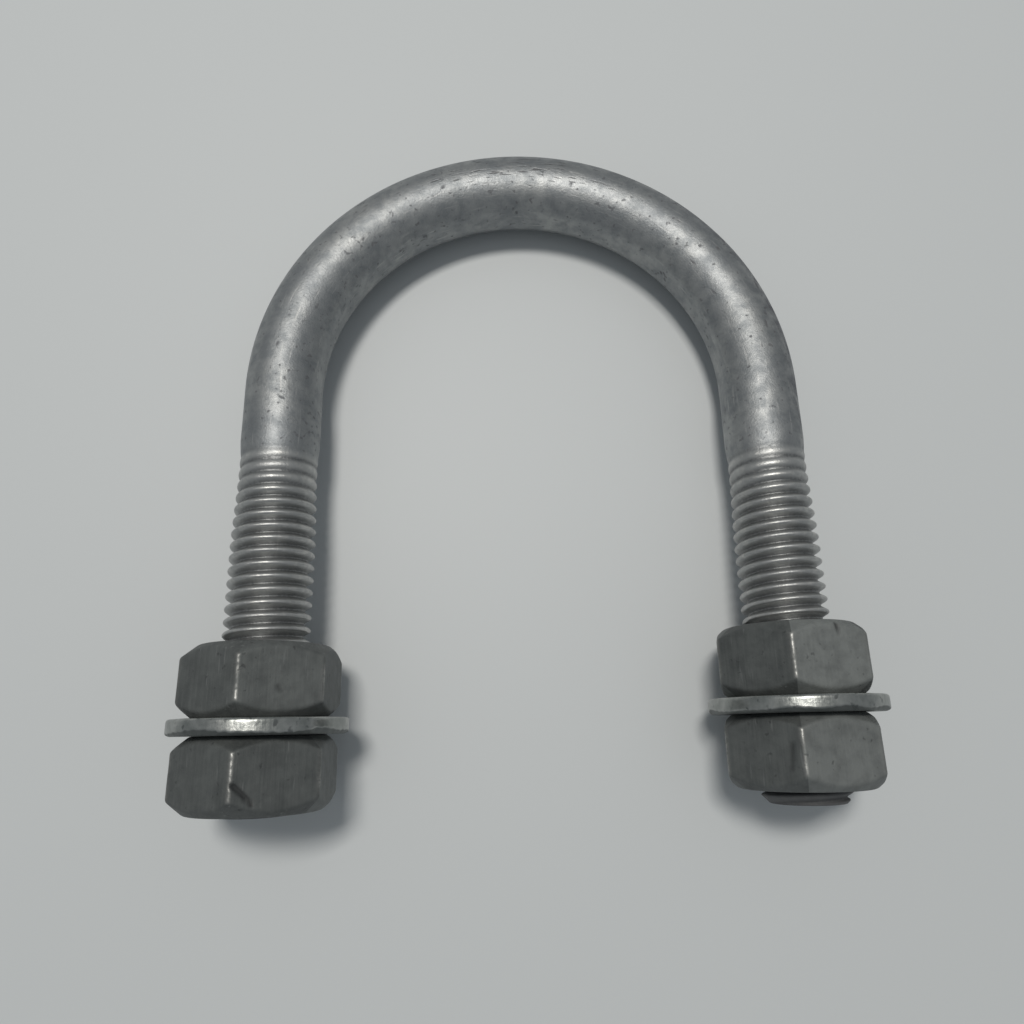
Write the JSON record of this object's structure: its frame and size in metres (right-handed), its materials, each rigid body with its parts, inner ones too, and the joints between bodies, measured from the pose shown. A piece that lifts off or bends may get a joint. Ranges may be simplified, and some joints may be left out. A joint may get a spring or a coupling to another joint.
{
  "type": "u-bolt bar eye",
  "caption": "Galvanised round bar bent into a U-shaped eye, with threaded legs that each carry an inner nut, a flat washer and an outer nut for clamping through a plate.",
  "frame": {"origin": "centre of the bend, on the bar's centreline plane, midway between the two legs where they start", "axes": "the U lies flat in XY: -Y along the legs away from the crown, +Y towards the crown, X across the legs, +Z square to the U"},
  "size_m": [0.0807, 0.0856, 0.0196],
  "materials": {
    "galvanised_bar": "hot-dip galvanised, mottled satin with small pits",
    "zinc_nut": "dull grey zinc, matte, with worn bright corners",
    "zinc_washer": "bright zinc plate with a sheared edge"
  },
  "bodies": {
    "u_bolt": {"u_bolt": "galvanised_bar"},
    "left_inner_nut": {"left_inner_nut": "zinc_nut"},
    "left_washer": {"left_washer": "zinc_washer"},
    "left_outer_nut": {"left_outer_nut": "zinc_nut"},
    "right_inner_nut": {"right_inner_nut": "zinc_nut"},
    "right_washer": {"right_washer": "zinc_washer"},
    "right_outer_nut": {"right_outer_nut": "zinc_nut"}
  },
  "joints": [
    {"name": "left_inner_nut_slide", "type": "slide", "parent": "u_bolt", "child": "left_inner_nut", "axis": [0, 1, 0], "range_m": [0, 0.0165]},
    {"name": "left_washer_slide", "type": "slide", "parent": "u_bolt", "child": "left_washer", "axis": [0, -1, 0], "range_m": [0, 0.01205]},
    {"name": "left_outer_nut_turn", "type": "hinge", "parent": "left_washer", "child": "left_outer_nut", "pos_m": [-0.03055, -0.0419, 0], "axis": [0, -1, 0], "range_deg": [0, 2880]},
    {"name": "right_inner_nut_slide", "type": "slide", "parent": "u_bolt", "child": "right_inner_nut", "axis": [0, 1, 0], "range_m": [0, 0.015]},
    {"name": "right_washer_slide", "type": "slide", "parent": "u_bolt", "child": "right_washer", "axis": [0, -1, 0], "range_m": [0, 0.01205]},
    {"name": "right_outer_nut_turn", "type": "hinge", "parent": "right_washer", "child": "right_outer_nut", "pos_m": [0.03055, -0.0407, 0], "axis": [0, -1, 0], "range_deg": [0, 2880]}
  ],
  "couplings": [
    {"joint": "left_washer_slide", "follows": "left_outer_nut_turn", "m_per_rad": 0.00023873},
    {"joint": "right_washer_slide", "follows": "right_outer_nut_turn", "m_per_rad": 0.00023873}
  ]
}
